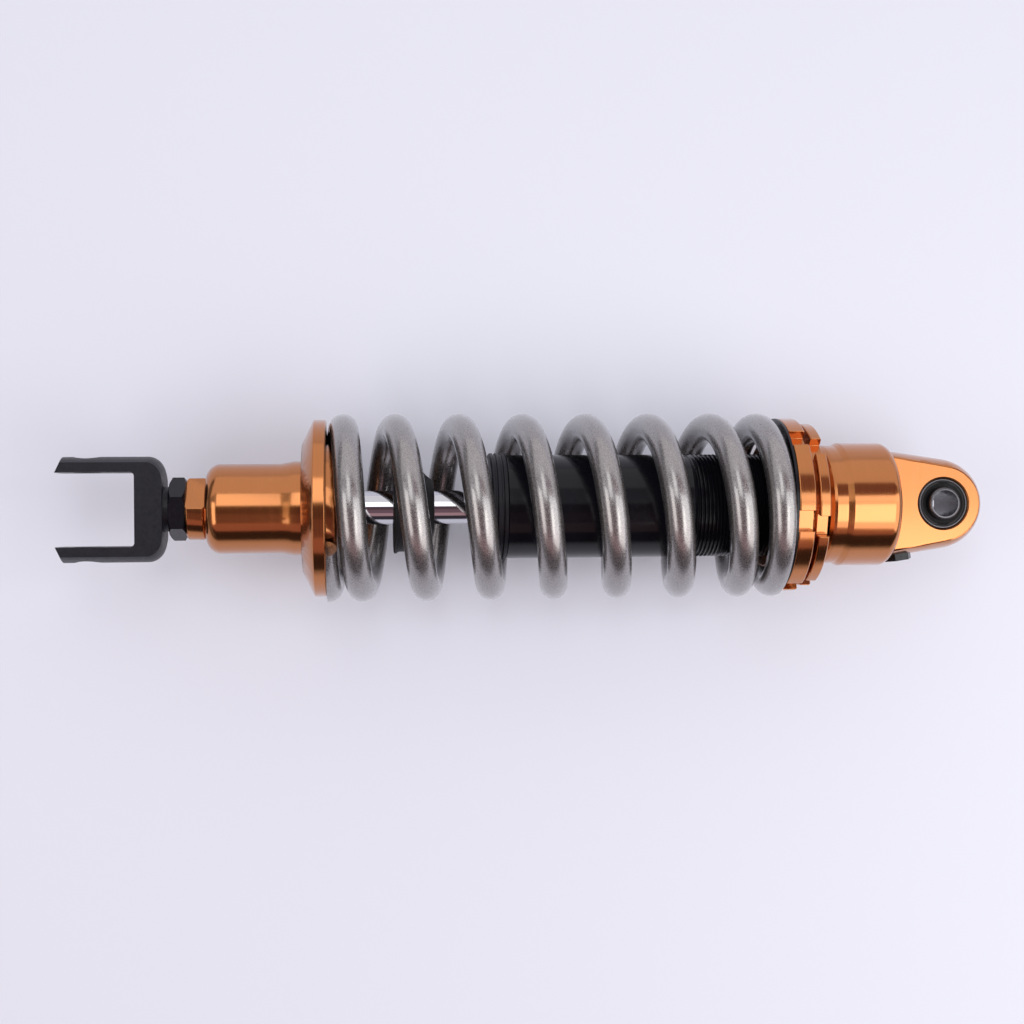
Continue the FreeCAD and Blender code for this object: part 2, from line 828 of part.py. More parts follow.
def make_rod_seals():
    """Wiper, oil seal, guide bush, seal head, its O-ring and the clip that holds it."""
    slide = "rod_dia / 2 + running"
    wiper = [
        ("wiper_recess", "wiper_dia / 2 - seated"),
        ("wiper_depth", "wiper_dia / 2 - seated"),
        ("wiper_depth", slide),
        ("-wiper_rise", slide),
        ("-wiper_rise", f"{slide} + wiper_lip"),
        ("wiper_recess", f"{slide} + wiper_lip_foot"),
    ]
    turned("dust_wiper", END_CAP_LEFT, wiper)
    turned_ring(
        "rod_oil_seal", HEAD_LEFT, "oil_seal_length", slide, "oil_seal_dia / 2 - seated"
    )
    turned_ring(
        "guide_bush",
        f"{HEAD_RIGHT} - bush_length",
        "bush_length",
        slide,
        "bush_dia / 2 - seated",
    )
    middle = "oil_seal_length + (head_length - oil_seal_length) / 2"
    floor = "tube_bore / 2 - ring_section - sliding"
    head = [
        ("0", "oil_seal_dia / 2"),
        ("0", "tube_bore / 2 - seated"),
        (f"{middle} - ring_groove_width / 2", "tube_bore / 2 - seated"),
        (f"{middle} - ring_groove_width / 2", floor),
        (f"{middle} + ring_groove_width / 2", floor),
        (f"{middle} + ring_groove_width / 2", "tube_bore / 2 - seated"),
        ("head_length", "tube_bore / 2 - seated"),
        ("head_length", "bush_dia / 2"),
        ("head_length - bush_length", "bush_dia / 2"),
        ("head_length - bush_length", "rod_dia / 2 + loose"),
        ("oil_seal_length", "rod_dia / 2 + loose"),
        ("oil_seal_length", "oil_seal_dia / 2"),
    ]
    turned("seal_head", HEAD_LEFT, head)
    rubber_ring("seal_head_ring", f"{HEAD_LEFT} + {middle}", RING_IN_BORE, "ring_section")

    clip = turned_ring(
        "head_clip",
        HEAD_RIGHT,
        "clip_thickness",
        "tube_bore / 2 - clip_width / 2",
        "tube_bore / 2 + clip_width / 2 - seated",
    )
    mouth = "tube_bore * sin(clip_gap_angle / 2)"
    cut_box(
        clip,
        "clip_mouth",
        "-overcut",
        "clip_thickness + overcut * 2",
        "tube_bore / 4",
        "tube_bore",
        mouth,
    )
    doc.recompute()


def make_rod_assembly():
    """Piston rod with the valved piston on its nose."""
    thread_start = f"{BOSS_FACE} - rod_thread_length"
    shoulder = f"{REBOUND_SHIMS} - ({thread_start})"
    end = f"{ROD_END} - ({thread_start})"
    rod = [
        ("0", "0"),
        ("0", "rod_thread_dia / 2 - rod_thread_chamfer"),
        ("rod_thread_chamfer", "rod_thread_dia / 2"),
        ("rod_thread_length", "rod_thread_dia / 2"),
        ("rod_thread_length", "rod_dia / 2"),
        (shoulder, "rod_dia / 2"),
        (shoulder, "rod_nose_dia / 2"),
        (end, "rod_nose_dia / 2"),
        (end, "0"),
    ]
    turned("piston_rod", thread_start, rod)
    turned_ring(
        "top_out_bumper",
        BUMPER_LEFT,
        "top_out_length",
        "rod_dia / 2 + seated",
        "top_out_dia / 2",
    )
    nose = "rod_nose_dia / 2 + seated"
    small = "piston_port_circle / 2 - piston_port_dia"
    large = "piston_port_circle / 2 + shim_overhang"
    stacks = (
        ("rebound_shims", REBOUND_SHIMS, small, large),
        ("compression_shims", COMPRESSION_SHIMS, large, small),
    )
    for node, station, first, last in stacks:
        steps = [
            ("0", nose),
            ("0", first),
            ("shim_stack / 3", first),
            ("shim_stack / 3", f"({first} + {last}) / 2"),
            ("shim_stack * 2 / 3", f"({first} + {last}) / 2"),
            ("shim_stack * 2 / 3", last),
            ("shim_stack", last),
            ("shim_stack", nose),
        ]
        turned(node, station, steps)

    band_left = "(piston_length - piston_band_width) / 2"
    band_right = "(piston_length + piston_band_width) / 2"
    land = "tube_bore / 2 - loose"
    floor = "tube_bore / 2 - piston_band_depth"
    piston = turned(
        "piston",
        PISTON_LEFT,
        [
            ("0", nose),
            ("0", land),
            (band_left, land),
            (band_left, floor),
            (band_right, floor),
            (band_right, land),
            ("piston_length", land),
            ("piston_length", nose),
        ],
    )
    port = primitive(
        piston,
        "SubtractiveCylinder",
        "piston_port",
        x="-overcut",
        y="piston_port_circle / 2",
        rotation=ALONG_X,
        Radius="piston_port_dia / 2",
        Height="piston_length + overcut * 2",
    )
    polar(piston, port, "piston_ports", "piston_port_count")
    turned_ring(
        "piston_band",
        f"{PISTON_LEFT} + {band_left} + seated",
        "piston_band_width - seated * 2",
        f"{floor} + seated",
        "tube_bore / 2 - running",
    )
    nut = new_body("piston_nut", PISTON_NUT)
    hexagon(nut, "piston_nut_prism", "piston_nut_flats", "piston_nut_height", 0.0)
    drill_x(
        nut, "piston_nut_bore", "-overcut", "piston_nut_height + overcut * 2", f"({nose}) * 2"
    )
    doc.recompute()


def make_floating_piston():
    """Piston that parts the oil from the gas, hollow on its gas side."""
    middle = "float_ring_middle"
    land = "tube_bore / 2 - sliding"
    floor = "tube_bore / 2 - ring_section - sliding"
    outline = [
        ("0", "0"),
        ("0", land),
        (f"{middle} - ring_groove_width / 2", land),
        (f"{middle} - ring_groove_width / 2", floor),
        (f"{middle} + ring_groove_width / 2", floor),
        (f"{middle} + ring_groove_width / 2", land),
        ("float_length", land),
        ("float_length", "float_cup_dia / 2"),
        ("float_length - float_cup_depth", "float_cup_dia / 2"),
        ("float_length - float_cup_depth", "0"),
    ]
    turned("floating_piston", FLOAT_LEFT, outline)
    rubber_ring("floating_piston_ring", f"{FLOAT_LEFT} + {middle}", RING_IN_BORE, "ring_section")


def make_bump_stop():
    """Rubber stop on the rod, with a lip at its flat end and a taper at the other."""
    bore = "rod_dia / 2 + sliding"
    outline = [
        ("0", bore),
        ("0", "bump_lip_dia / 2"),
        ("bump_lip", "bump_lip_dia / 2"),
        ("bump_lip + bump_lip_ramp", "bump_dia / 2"),
        ("bump_barrel", "bump_dia / 2"),
        ("bump_length - bump_tip_round", "bump_tip_dia / 2 + bump_tip_round"),
        ("bump_length", "bump_tip_dia / 2"),
        ("bump_length", bore),
    ]
    turned("bump_stop", BUMP_LEFT, outline)


def make_slotted_ring(node, station, outline, rim, rim_start, rim_end, phase):
    """A preload ring with broken edges and spanner slots around its rim."""
    ring = turned(node, station, outline)
    edges = circles_at(ring, rim_start, rim) + circles_at(ring, rim_end, rim)
    dress(ring, "Chamfer", f"{node}_edges", edges, Size="ring_edge")
    slot = cut_box(
        ring,
        f"{node}_slot",
        f"{rim_start} - overcut",
        f"{rim_end} - ({rim_start}) + overcut * 2",
        f"{rim} - slot_depth",
        "slot_depth + overcut",
        "slot_width",
        value(phase),
    )
    polar(ring, slot, f"{node}_slots", "slot_count")
    return ring


def make_preload_rings():
    """Adjuster ring with its spring spigot, lock ring behind it, and the spring's thrust washer."""
    thread = "tube_dia / 2 + running"
    adjuster = [
        ("-washer_thickness - spigot_length", thread),
        ("-washer_thickness - spigot_length", f"{SPIGOT} - ring_edge"),
        ("-washer_thickness - spigot_length + ring_edge", SPIGOT),
        ("0", SPIGOT),
        ("0", "adjuster_dia / 2"),
        ("adjuster_thickness", "adjuster_dia / 2"),
        ("adjuster_thickness", thread),
    ]
    make_slotted_ring(
        "adjuster_ring",
        ADJUSTER_LEFT,
        adjuster,
        "adjuster_dia / 2",
        "0",
        "adjuster_thickness",
        "adjuster_phase",
    )
    lock = [
        ("0", thread),
        ("0", "lock_hub_dia / 2"),
        ("lock_hub_height", "lock_hub_dia / 2"),
        ("lock_hub_height", "lock_dia / 2"),
        ("lock_hub_height + lock_thickness", "lock_dia / 2"),
        ("lock_hub_height + lock_thickness", thread),
    ]
    make_slotted_ring(
        "lock_ring",
        LOCK_LEFT,
        lock,
        "lock_dia / 2",
        "lock_hub_height",
        "lock_hub_height + lock_thickness",
        "lock_phase",
    )
    plain_ring(
        "spring_thrust_washer",
        WASHER_LEFT,
        "washer_thickness",
        f"{SPIGOT} + sliding",
        "washer_dia / 2",
    )


def make_lower_seat():
    """Lower spring seat: collar with spanner flats, barrel, flange and the boss inside the spring."""
    rim_start = "seat_length - rim_length"
    flange = f"{rim_start} - flange_cone_length"
    hub_start = f"{flange} - hub_length"
    flare_start = f"{hub_start} - flare_length"
    outline = [
        ("0", "0"),
        ("0", "collar_dia / 2 - collar_chamfer"),
        ("collar_chamfer", "collar_dia / 2"),
        ("collar_length - collar_chamfer", "collar_dia / 2"),
        ("collar_length", "collar_dia / 2 - collar_chamfer"),
        ("collar_length", "barrel_dia / 2"),
        (flare_start, "barrel_dia / 2"),
        (hub_start, "hub_dia / 2"),
        (flange, "hub_dia / 2"),
        (flange, "flange_face_dia / 2"),
        (rim_start, "rim_dia / 2 - rim_chamfer"),
        (f"{rim_start} + rim_chamfer", "rim_dia / 2"),
        ("seat_length - rim_chamfer", "rim_dia / 2"),
        ("seat_length", "rim_dia / 2 - rim_chamfer"),
        ("seat_length", SPIGOT),
        ("seat_length + boss_height - boss_chamfer", SPIGOT),
        ("seat_length + boss_height", f"{SPIGOT} - boss_chamfer"),
        ("seat_length + boss_height", "0"),
    ]
    body = turned("lower_spring_seat", SEAT_LEFT, outline)
    dress(
        body,
        "Fillet",
        "barrel_shoulder",
        circles_at(body, "collar_length", "barrel_dia / 2"),
        Radius="barrel_round",
    )
    phase = value("collar_phase")
    for side, turn in (("near", phase), ("far", phase + 180)):
        cut_box(
            body,
            f"collar_{side}_flat",
            "-overcut",
            "collar_length + overcut",
            "collar_flats / 2",
            "collar_dia",
            "collar_dia",
            turn,
        )
    drill_x(
        body,
        "shank_hole",
        "-overcut",
        "shank_depth + shank_room + overcut",
        "shank_dia + seated * 2",
    )
    drill_x(
        body,
        "rod_hole",
        "seat_length + boss_height - rod_thread_length - overcut",
        "rod_thread_length + overcut * 2",
        "rod_thread_dia + seated * 2",
    )
    doc.recompute()


def make_jam_nut():
    """Hexagon jam nut that locks the clevis in the seat."""
    nut = new_body("jam_nut", NUT_LEFT)
    hexagon(nut, "jam_nut_prism", "nut_flats", "nut_height", value("nut_phase"))
    doc.recompute()
    revolve(
        nut,
        "Groove",
        "jam_nut_corners",
        corner_cut("left", "nut_height", "nut_flats"),
        corner_cut("right", "nut_height", "nut_flats"),
    )
    drill_x(
        nut, "jam_nut_bore", "-overcut", "nut_height + overcut * 2", "shank_dia + seated * 2"
    )
    doc.recompute()


def make_clevis():
    """Clevis turned from round bar, with two flats, a slot and a pin bore through both arms."""
    end = "clevis_shoulder + neck_length + nut_height + shank_depth"
    outline = [
        ("-clevis_reach", "0"),
        ("-clevis_reach", "clevis_gap / 2"),
        ("-clevis_reach + clevis_tip_cone", "clevis_dia / 2"),
        ("clevis_shoulder", "clevis_dia / 2"),
        ("clevis_shoulder", "neck_dia / 2"),
        ("clevis_shoulder + neck_length", "neck_dia / 2"),
        ("clevis_shoulder + neck_length", "shank_dia / 2"),
        (end, "shank_dia / 2"),
        (end, "0"),
    ]
    body = turned("clevis", PIN, outline)
    dress(
        body,
        "Fillet",
        "clevis_shoulder_round",
        circles_at(body, "clevis_shoulder", "clevis_dia / 2"),
        Radius="clevis_round",
    )
    for side, z in (("front", "clevis_thickness / 2"), ("back", "-clevis_thickness / 2 - clevis_dia")):
        primitive(
            body,
            "SubtractiveBox",
            f"clevis_{side}_flat",
            x="-clevis_reach - overcut",
            y="-clevis_dia",
            z=z,
            Length="clevis_reach + clevis_shoulder + overcut",
            Width="clevis_dia * 2",
            Height="clevis_dia",
        )
    primitive(
        body,
        "SubtractiveBox",
        "clevis_slot_cut",
        x="-clevis_reach - overcut",
        y="-clevis_gap / 2",
        z="-clevis_thickness",
        Length="clevis_reach + overcut + clevis_slot",
        Width="clevis_gap",
        Height="clevis_thickness * 2",
    )
    doc.recompute()
    corners = []
    for number, edge in enumerate(body.Tip.Shape.Edges, start=1):
        middle = edge.CenterOfMass
        in_corner = abs(middle.x - value("clevis_slot")) < NEAR
        on_wall = abs(abs(middle.y) - value("clevis_gap / 2")) < NEAR
        if in_corner and on_wall:
            corners.append(f"Edge{number}")
    dress(body, "Fillet", "clevis_slot_corners", corners, Radius="clevis_corner")
    primitive(
        body,
        "SubtractiveCylinder",
        "clevis_pin_bore",
        y="-clevis_dia / 2 - overcut",
        rotation=ALONG_Y,
        Radius="clevis_bore / 2",
        Height="clevis_dia + overcut * 2",
    )
    doc.recompute()


def pitch_at(turn, pitch):
    """Rise per turn: closed at each end, with a ramp up to the full pitch."""
    closed_pitch = value("wire_dia + closed_gap")
    lower = (turn - value("lower_closed")) / value("lower_ramp")
    upper = (value("spring_turns") - turn - value("upper_closed")) / value("upper_ramp")
    share = min(max(min(lower, upper), 0.0), 1.0)
    return closed_pitch + (pitch - closed_pitch) * share


def spring_line():
    """The wire's centreline as functions of the turn: a point and its direction."""
    turns = value("spring_turns")
    radius = value("(spring_dia - wire_dia) / 2")
    closed_pitch = value("wire_dia + closed_gap")
    first = value("tip_thickness - wire_dia / 2")
    rise = value("spring_length") - 2 * first
    slow = value("lower_closed + upper_closed + (lower_ramp + upper_ramp) / 2")
    pitch = (rise - slow * closed_pitch) / (turns - slow)
    phase = math.radians(value("spring_phase"))

    def climbed(turn, closed, ramp):
        """How far the wire has climbed from its tip, up to the middle of the spring."""
        flat = min(turn, closed) * closed_pitch
        part = min(max(turn - closed, 0.0), ramp)
        sloped = part * closed_pitch + (pitch - closed_pitch) * part * part / (2 * ramp)
        return flat + sloped + max(turn - closed - ramp, 0.0) * pitch

    def point(turn):
        if turn <= turns / 2:
            height = first + climbed(turn, value("lower_closed"), value("lower_ramp"))
        else:
            left = climbed(turns - turn, value("upper_closed"), value("upper_ramp"))
            height = first + rise - left
        angle = phase + 2 * math.pi * turn
        return FreeCAD.Vector(height, radius * math.cos(angle), radius * math.sin(angle))

    def direction(turn):
        angle = phase + 2 * math.pi * turn
        around = 2 * math.pi * radius
        way = FreeCAD.Vector(
            pitch_at(turn, pitch), -around * math.sin(angle), around * math.cos(angle)
        )
        return way.normalize()

    return turns, point, direction


def arc_from(start, way, end):
    """The arc that leaves start along way and reaches end."""
    chord = end - start
    length = chord.Length
    along = chord * (1 / length)
    side = way - along * way.dot(along)
    half_turn = math.atan2(side.Length, way.dot(along))
    rise = side.normalize() * (length / 2 * math.tan(half_turn / 2))
    return Part.Arc(start, (start + end) * 0.5 + rise, end).toShape()


def biarc(start, start_way, end, end_way):
    """Two arcs that join two points with their directions."""
    chord = end - start
    ways = start_way + end_way
    bend = 2 * (1 - start_way.dot(end_way))
    reach = chord.dot(ways)
    arm = (-reach + math.sqrt(reach * reach + bend * chord.dot(chord))) / bend
    corner = start + start_way * arm
    joint = (corner + end - end_way * arm) * 0.5
    joint_way = (joint - corner).normalize()
    return [arc_from(start, start_way, joint), arc_from(joint, joint_way, end)]


def make_spring():
    """Right-hand coil spring, its ends closed and ground flat."""
    turns, point, direction = spring_line()
    steps = math.ceil(turns * 4)
    stops = [turns * number / steps for number in range(steps + 1)]
    edges = []
    for before, after in zip(stops, stops[1:]):
        edges += biarc(point(before), direction(before), point(after), direction(after))
    spine = Part.Wire(edges)
    wire = value("wire_dia")
    section = Part.Wire(Part.makeCircle(wire / 2, point(0), direction(0)))
    coil = spine.makePipeShell([section], True, False)
    if coil.Volume < 0:
        coil.reverse()
    length = value("spring_length")
    across = value("spring_dia") * 2
    slab = Part.makeBox(length, across, across, FreeCAD.Vector(0, -across / 2, -across / 2))
    ground = coil.common(slab)
    solids = ground.Solids
    spring = doc.addObject("Part::Feature", "coil_spring")
    spring.Label = "coil_spring"
    spring.Shape = solids[0]
    spring.Placement = FreeCAD.Placement(FreeCAD.Vector(value(SPRING_LEFT), 0, 0), FreeCAD.Rotation())
    expected = math.pi * wire * wire / 4 * spine.Length
    print("spring: solids", len(solids), "pipe volume", round(coil.Volume), "of", round(expected))
    print("spring: tightest bend", round(min(edge.Curve.Radius for edge in edges), 2))
    print("spring: least gap between turns", round(least_gap(turns, point, wire), 2))


def least_gap(turns, point, wire):
    """The least distance between the wire and itself, over half a turn apart, on points."""
    per_turn = 72
    count = int(turns * per_turn)
    points = [point(turns * number / count) for number in range(count + 1)]
    least = float("inf")
    for number, here in enumerate(points):
        start = number + int(per_turn * 0.5)
        for there in points[start : number + int(per_turn * 1.6)]:
            least = min(least, here.distanceToPoint(there))
    return least - wire


def check_and_export():
    """Stops if anything failed, then writes each sub-part to its own file."""
    doc.recompute()
    failed = [o.Label for o in doc.Objects if "Invalid" in o.State or "Error" in o.State]
    if failed:
        raise RuntimeError(f"these did not compute: {failed}")
    inner = {o.Name for o in doc.Objects for parent in o.InList if parent.TypeId == "Part::Cut"}
    kinds = ("PartDesign::Body", "Part::Cut", "Part::Torus", "Part::Feature")
    nodes = [o for o in doc.Objects if o.TypeId in kinds and o.Name not in inner]
    os.makedirs("parts", exist_ok=True)
    for node in nodes:
        shape = node.Shape
        if shape.isNull() or not shape.isValid() or not shape.Solids:
            raise RuntimeError(f"{node.Label} has no sound shape")
        shape.exportStep(f"parts/{node.Label}.step")
        print(f"{node.Label}: {len(shape.Solids)} solid, {shape.Volume / 1000:.2f} cm3")


make_top_cap()
make_gas_plug()
make_bearing()
make_damper_tube()
make_end_cap()
make_rod_seals()
make_rod_assembly()
make_floating_piston()
make_bump_stop()
make_preload_rings()
make_spring()
make_lower_seat()
make_jam_nut()
make_clevis()
check_and_export()
print("eye to clevis pin", round(-value(PIN), 2))
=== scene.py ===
import json
import math

import bmesh
import bpy
from mathutils import Matrix, Vector


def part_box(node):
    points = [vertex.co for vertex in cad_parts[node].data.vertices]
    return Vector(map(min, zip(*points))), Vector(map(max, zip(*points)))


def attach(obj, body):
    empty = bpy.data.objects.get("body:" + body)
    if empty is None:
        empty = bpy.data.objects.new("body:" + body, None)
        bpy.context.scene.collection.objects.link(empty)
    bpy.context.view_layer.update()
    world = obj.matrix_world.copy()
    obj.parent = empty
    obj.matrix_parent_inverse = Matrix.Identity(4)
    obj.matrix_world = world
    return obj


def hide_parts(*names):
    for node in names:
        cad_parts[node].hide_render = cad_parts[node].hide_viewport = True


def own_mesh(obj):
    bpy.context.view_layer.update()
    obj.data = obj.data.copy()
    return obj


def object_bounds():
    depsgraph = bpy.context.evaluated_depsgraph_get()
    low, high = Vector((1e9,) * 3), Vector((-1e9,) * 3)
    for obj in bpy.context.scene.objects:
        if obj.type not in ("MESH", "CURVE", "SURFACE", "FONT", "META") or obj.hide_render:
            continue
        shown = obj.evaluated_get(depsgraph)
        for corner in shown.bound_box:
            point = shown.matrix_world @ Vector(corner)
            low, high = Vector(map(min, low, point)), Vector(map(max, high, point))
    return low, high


# Motorcycle shock absorber lying on a pale studio floor, seen from nearly straight above.
# X runs along the shock from the clevis to the eye, Z is up, and the eye's bore is at the origin.

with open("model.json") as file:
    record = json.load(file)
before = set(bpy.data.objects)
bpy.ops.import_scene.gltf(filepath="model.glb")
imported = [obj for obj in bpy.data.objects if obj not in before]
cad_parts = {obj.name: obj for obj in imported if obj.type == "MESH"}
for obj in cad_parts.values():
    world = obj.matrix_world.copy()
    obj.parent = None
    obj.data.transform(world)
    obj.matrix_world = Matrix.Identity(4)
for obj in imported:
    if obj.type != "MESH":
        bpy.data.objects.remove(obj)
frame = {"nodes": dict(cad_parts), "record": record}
cad_low, cad_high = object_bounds()

MM = 0.001
X_AXIS = Vector((1, 0, 0))
FULL_TURN = 2 * math.pi
SAME_PLACE = 0.001 * MM


# Materials


class Finish:
    """One material's node tree, with a Principled shader to set and textures to feed it."""

    def __init__(self, name, base, roughness, metallic=0.0):
        self.material = bpy.data.materials.new(name)
        self.material.use_nodes = True
        self.tree = self.material.node_tree
        self.shader = self.tree.nodes["Principled BSDF"]
        self.shader.inputs["Base Color"].default_value = (*base, 1)
        self.shader.inputs["Roughness"].default_value = roughness
        self.shader.inputs["Metallic"].default_value = metallic

    def node(self, kind, **settings):
        made = self.tree.nodes.new(kind)
        for setting, chosen in settings.items():
            setattr(made, setting, chosen)
        return made

    def join(self, output, entry):
        self.tree.links.new(output, entry)

    def set(self, **sockets):
        """Sets the shader's own sockets, named with underscores for spaces."""
        for socket, chosen in sockets.items():
            self.shader.inputs[socket.replace("_", " ")].default_value = chosen

    def place(self, stretch=(1, 1, 1)):
        """Object coordinates, stretched."""
        coordinates = self.node("ShaderNodeTexCoord")
        mapping = self.node("ShaderNodeMapping")
        mapping.inputs["Scale"].default_value = stretch
        self.join(coordinates.outputs["Object"], mapping.inputs["Vector"])
        return mapping.outputs["Vector"]

    def noise(self, scale, detail=2.0, stretch=(1, 1, 1)):
        texture = self.node("ShaderNodeTexNoise")
        texture.inputs["Scale"].default_value = scale
        texture.inputs["Detail"].default_value = detail
        self.join(self.place(stretch), texture.inputs["Vector"])
        return texture.outputs["Fac"]

    def flakes(self, scale):
        """A random grey for each small cell."""
        texture = self.node("ShaderNodeTexVoronoi")
        texture.inputs["Scale"].default_value = scale
        self.join(self.place(), texture.inputs["Vector"])
        return texture.outputs["Color"]

    def spread(self, output, low, high, from_low=0.3, from_high=0.7):
        """Maps a texture's middle range to the range from low to high."""
        ramp = self.node("ShaderNodeMapRange")
        for entry, amount in (
            ("From Min", from_low),
            ("From Max", from_high),
            ("To Min", low),
            ("To Max", high),
        ):
            ramp.inputs[entry].default_value = amount
        self.join(output, ramp.inputs["Value"])
        return ramp.outputs["Result"]

    def tint(self, output, first, second):
        """Mixes two base colours by a value from 0 to 1."""
        mix = self.node("ShaderNodeMix", data_type="RGBA")
        mix.inputs["A"].default_value = (*first, 1)
        mix.inputs["B"].default_value = (*second, 1)
        self.join(output, mix.inputs["Factor"])
        self.join(mix.outputs["Result"], self.shader.inputs["Base Color"])

    def rough(self, output):
        self.join(output, self.shader.inputs["Roughness"])

    def bump(self, output, depth, strength=1.0):
        """Raises the surface by up to depth metres, on top of any earlier bump."""
        bump = self.node("ShaderNodeBump")
        bump.inputs["Distance"].default_value = depth
        bump.inputs["Strength"].default_value = strength
        self.join(output, bump.inputs["Height"])
        if self.shader.inputs["Normal"].links:
            before = self.shader.inputs["Normal"].links[0].from_socket
            self.join(before, bump.inputs["Normal"])
        self.join(bump.outputs["Normal"], self.shader.inputs["Normal"])

    def turned(self, amount):
        """Lathe marks round X: the gloss spreads along the axis."""
        tangent = self.node("ShaderNodeTangent", direction_type="RADIAL", axis="X")
        self.join(tangent.outputs["Tangent"], self.shader.inputs["Tangent"])
        self.set(Anisotropic=amount, Anisotropic_Rotation=0.25)


def orange_anodised():
    """Dyed aluminium under a clear hard skin, with fine lathe marks."""
    finish = Finish("orange_anodised", (0.48, 0.176, 0.051), 0.18, metallic=1.0)
    finish.set(Coat_Weight=0.5, Coat_Roughness=0.10, Coat_IOR=1.5)
    marks = finish.noise(40.0, 3.0, stretch=(120, 1, 1))
    finish.tint(finish.spread(marks, 0.0, 1.0), (0.465, 0.170, 0.0475), (0.495, 0.182, 0.056))
    finish.rough(finish.spread(marks, 0.16, 0.21))
    finish.bump(marks, 0.0000012)
    finish.turned(0.5)
    return finish.material


def spring_paint():
    """Grey pearl paint under clear lacquer: small bright flakes in a darker base."""
    finish = Finish("spring_paint", (0.31, 0.295, 0.29), 0.31, metallic=0.9)
    finish.set(Coat_Weight=1.0, Coat_Roughness=0.06, Coat_IOR=1.5)
    flakes = finish.flakes(4200.0)
    pearl = finish.spread(flakes, 0.0, 1.0, 0.25, 0.85)
    finish.tint(pearl, (0.245, 0.233, 0.229), (0.38, 0.361, 0.354))
    finish.rough(finish.spread(flakes, 0.27, 0.35))
    finish.bump(flakes, 0.000002, 0.4)
    finish.bump(finish.noise(90.0, 1.0), 0.00002, 0.2)
    return finish.material


def bare_steel(name, base=(0.60, 0.60, 0.61), roughness=0.28, metallic=1.0):
    """Ground steel with fine scratches."""
    finish = Finish(name, base, roughness, metallic)
    scratches = finish.noise(700.0, 4.0, stretch=(1, 6, 1))
    finish.rough(finish.spread(scratches, roughness - 0.08, roughness + 0.12))
    finish.bump(scratches, 0.000004)
    return finish.material


def chrome():
    finish = Finish("chrome", (0.58, 0.585, 0.615), 0.045, metallic=1.0)
    polish = finish.noise(60.0, 2.0, stretch=(40, 1, 1))
    finish.rough(finish.spread(polish, 0.03, 0.07))
    return finish.material


def black_gloss():
    """Stoved black enamel on the tube."""
    finish = Finish("black_gloss", (0.007, 0.007, 0.010), 0.14)
    finish.set(Specular_IOR_Level=0.25)
    finish.rough(finish.spread(finish.noise(400.0, 3.0), 0.11, 0.18))
    finish.bump(finish.noise(120.0, 2.0), 0.00002, 0.2)
    return finish.material


def black_anodised():
    """Satin blue-black on machined aluminium."""
    finish = Finish("black_anodised", (0.009, 0.009, 0.014), 0.36)
    finish.set(Specular_IOR_Level=0.28)
    grain = finish.noise(900.0, 3.0)
    finish.tint(finish.spread(grain, 0.0, 1.0), (0.006, 0.006, 0.010), (0.011, 0.011, 0.017))
    finish.rough(finish.spread(grain, 0.34, 0.46))
    finish.bump(grain, 0.000008, 0.5)
    return finish.material


def black_oxide():
    """Blackened steel, with a slight oily gloss."""
    finish = Finish("black_oxide", (0.006, 0.006, 0.009), 0.20)
    finish.set(Specular_IOR_Level=0.3)
    grain = finish.noise(600.0, 4.0)
    finish.rough(finish.spread(grain, 0.18, 0.28))
    finish.bump(grain, 0.000006, 0.4)
    return finish.material


def rubber():
    finish = Finish("rubber", (0.017, 0.017, 0.018), 0.55)
    finish.set(Specular_IOR_Level=0.4)
    grain = finish.noise(1500.0, 3.0)
    finish.rough(finish.spread(grain, 0.48, 0.66))
    finish.bump(grain, 0.00003, 0.4)
    return finish.material


def machined_metal(name, base):
    """Bare turned metal inside the damper."""
    finish = Finish(name, base, 0.30, metallic=1.0)
    marks = finish.noise(40.0, 3.0, stretch=(120, 1, 1))
    finish.rough(finish.spread(marks, 0.24, 0.38))
    finish.bump(marks, 0.000005)
    return finish.material


def slide_band():
    finish = Finish("slide_band", (0.16, 0.11, 0.08), 0.45)
    finish.rough(finish.spread(finish.noise(800.0), 0.40, 0.52))
    return finish.material


FINISHES = {
    "orange_anodised": orange_anodised(),
    "black_anodised": black_anodised(),
    "black_gloss": black_gloss(),
    "black_oxide": black_oxide(),
    "spring_paint": spring_paint(),
    "chrome": chrome(),
    "rubber": rubber(),
    "bearing_steel": bare_steel("bearing_steel"),
    "bare_aluminium": machined_metal("bare_aluminium", (0.66, 0.67, 0.69)),
    "bronze": machined_metal("bronze", (0.55, 0.36, 0.17)),
    "slide_band": slide_band(),
}
DARK_STEEL = bare_steel("phosphated_steel", (0.12, 0.12, 0.13), 0.30)
SLOT_OF = {part["node"]: part["material_slot"] for part in frame["record"]["subparts"]}
BODY_OF = {
    node: body for body, nodes in frame["record"]["behaviour"]["bodies"].items() for node in nodes
}


# Shapes


def new_piece(name, mesh, node, *more_nodes):
    """A shown piece that stands for CAD nodes, with the first one's finish and body."""
    piece = bpy.data.objects.new(name, mesh)
    bpy.context.scene.collection.objects.link(piece)
    if not mesh.materials:
        mesh.materials.append(FINISHES[SLOT_OF[node]])
    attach(piece, BODY_OF[node])
    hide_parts(node, *more_nodes)
    return piece


def smooth(mesh, angle=32, corners=()):
    """Smooth shading, crisp at edges sharper than the angle and at the given stations."""
    for face in mesh.polygons:
        face.use_smooth = True
    mesh.set_sharp_from_angle(angle=math.radians(angle))
    near = 0.02 * MM
    for edge in mesh.edges:
        first, second = (mesh.vertices[number].co.x for number in edge.vertices)
        if any(max(abs(first - x), abs(second - x)) < near for x in corners):
            edge.use_edge_sharp = True


def finished(name, work):
    """A mesh from a bmesh."""
    mesh = bpy.data.meshes.new(name)
    work.to_mesh(mesh)
    work.free()
    return mesh


